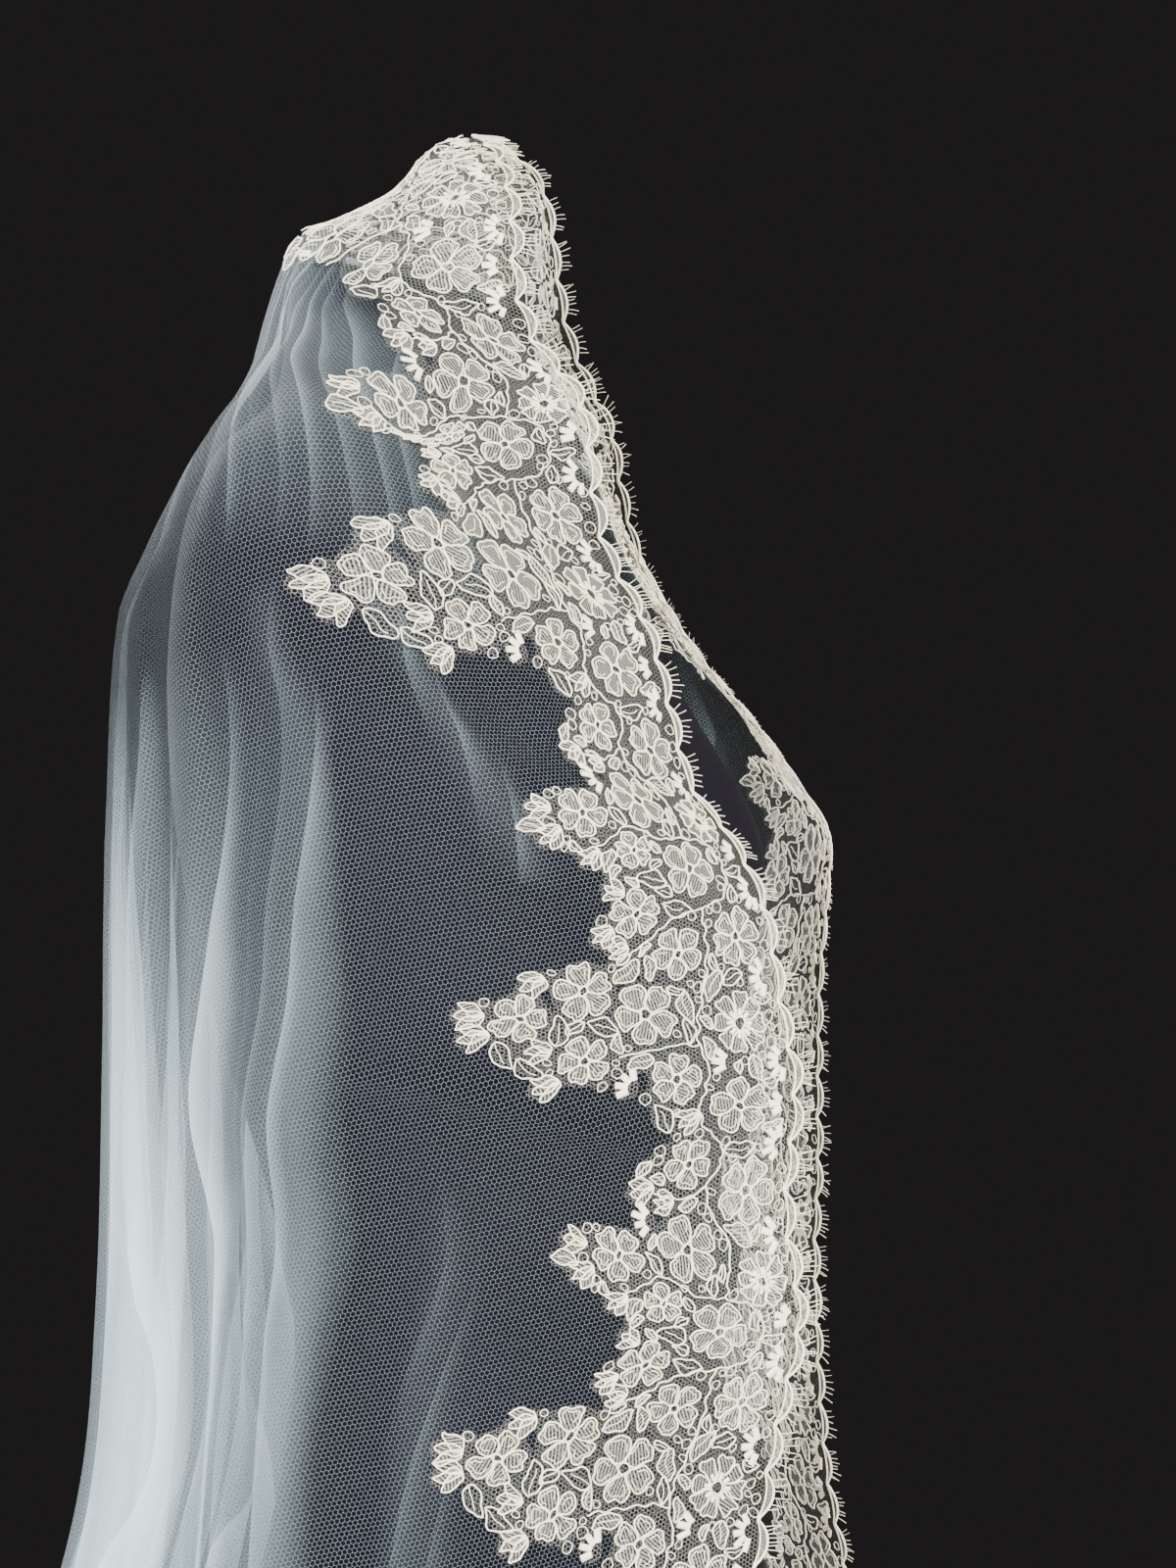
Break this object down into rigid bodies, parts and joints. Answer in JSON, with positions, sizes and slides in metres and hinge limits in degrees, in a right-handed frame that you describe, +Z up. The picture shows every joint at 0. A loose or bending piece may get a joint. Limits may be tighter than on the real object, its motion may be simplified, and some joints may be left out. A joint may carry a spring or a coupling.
{
  "type": "bridal veil on a limbless dress form",
  "caption": "Long bridal veil of soft tulle with a wide lace front edge, open in front, laid over a headless dress form on a pole stand.",
  "frame": {"origin": "on the floor, at the centre of the round base", "axes": "+Z up, the form faces -Y, its right side is -X"},
  "size_m": [0.4092, 0.4618, 1.5208],
  "materials": {
    "tulle": "soft sheer hexagonal net",
    "corded_lace": "ivory corded floral lace on fine net",
    "lash_thread": "ivory cord and lashes",
    "black_jersey": "matt black jersey",
    "black_lacquer": "satin black",
    "stand_steel": "brushed"
  },
  "bodies": {
    "root": {"tulle_body": "tulle", "lace_trim_right": "corded_lace", "lace_trim_left": "corded_lace", "lash_edge_right": "lash_thread", "lash_edge_left": "lash_thread", "form_torso": "black_jersey", "form_neck_cap": "black_lacquer", "stand_pole": "stand_steel", "stand_base": "black_lacquer"}
  },
  "joints": []
}
